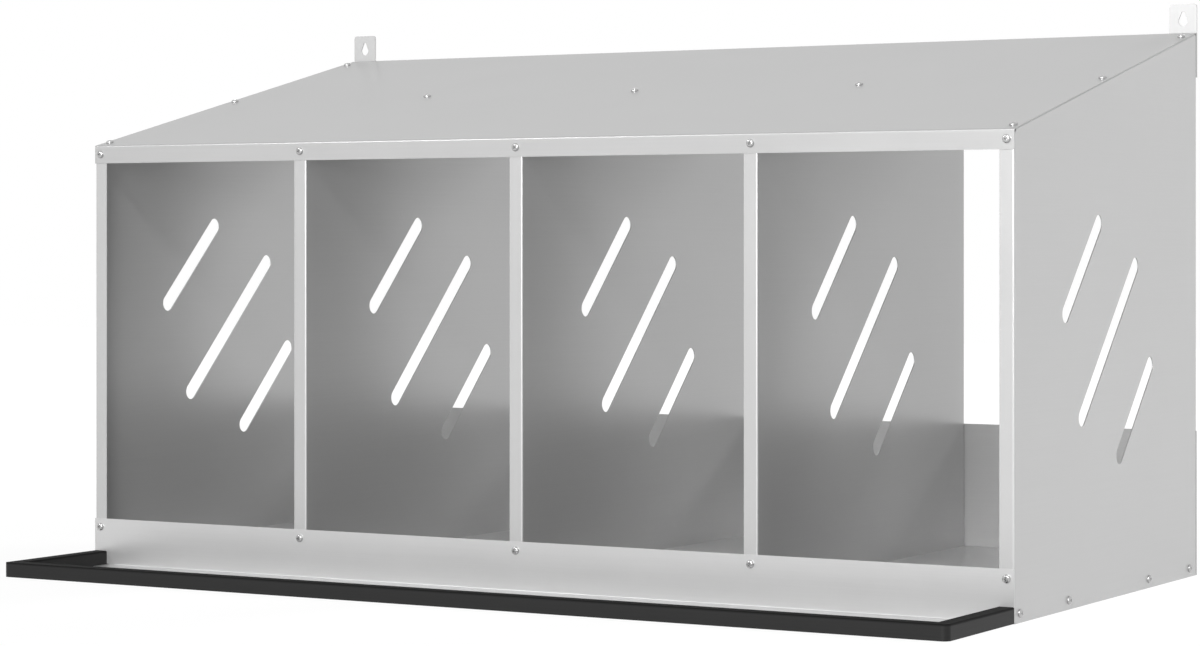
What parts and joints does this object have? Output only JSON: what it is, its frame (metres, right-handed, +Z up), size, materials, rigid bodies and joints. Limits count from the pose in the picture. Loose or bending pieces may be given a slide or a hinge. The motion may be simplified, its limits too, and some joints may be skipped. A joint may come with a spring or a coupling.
{
  "type": "chicken nesting box",
  "caption": "Wall-hung chicken nesting box of folded sheet steel: sloping roof, slotted ends and dividers, low back panel, landing tray with a black edge guard, keyhole brackets.",
  "frame": {"origin": "bottom centre of the whole box's bounding box, on the surface that it stands on", "axes": "+X along the row of nests to the right as seen from the front, +Y to the wall, +Z up"},
  "size_m": [1.0648, 0.6454, 0.595],
  "materials": {
    "sheet_steel": "satin galvanised sheet",
    "black_rubber": "matt moulded rubber",
    "zinc_fastener": "bright zinc plate"
  },
  "bodies": {
    "root": {"left_side_panel": "sheet_steel", "right_side_panel": "sheet_steel", "divider_1": "sheet_steel", "divider_2": "sheet_steel", "divider_3": "sheet_steel", "roof_panel": "sheet_steel", "floor_pan": "sheet_steel", "back_panel": "sheet_steel", "landing_tray": "sheet_steel", "left_hanging_bracket": "sheet_steel", "right_hanging_bracket": "sheet_steel", "front_edge_guard": "black_rubber", "left_edge_guard": "black_rubber", "right_edge_guard": "black_rubber", "roof_front_screws": "zinc_fastener", "roof_front_nuts": "zinc_fastener", "tray_screws": "zinc_fastener", "tray_nuts": "zinc_fastener", "roof_left_screws": "zinc_fastener", "roof_left_nuts": "zinc_fastener", "roof_right_screws": "zinc_fastener", "roof_right_nuts": "zinc_fastener", "roof_divider_screws": "zinc_fastener", "roof_divider_nuts": "zinc_fastener", "roof_rear_screws": "zinc_fastener", "roof_rear_nuts": "zinc_fastener", "left_floor_screws": "zinc_fastener", "left_floor_nuts": "zinc_fastener", "right_floor_screws": "zinc_fastener", "right_floor_nuts": "zinc_fastener", "back_panel_screws": "zinc_fastener", "back_panel_nuts": "zinc_fastener", "left_bracket_screws": "zinc_fastener", "left_bracket_nuts": "zinc_fastener", "right_bracket_screws": "zinc_fastener", "right_bracket_nuts": "zinc_fastener"}
  },
  "joints": []
}
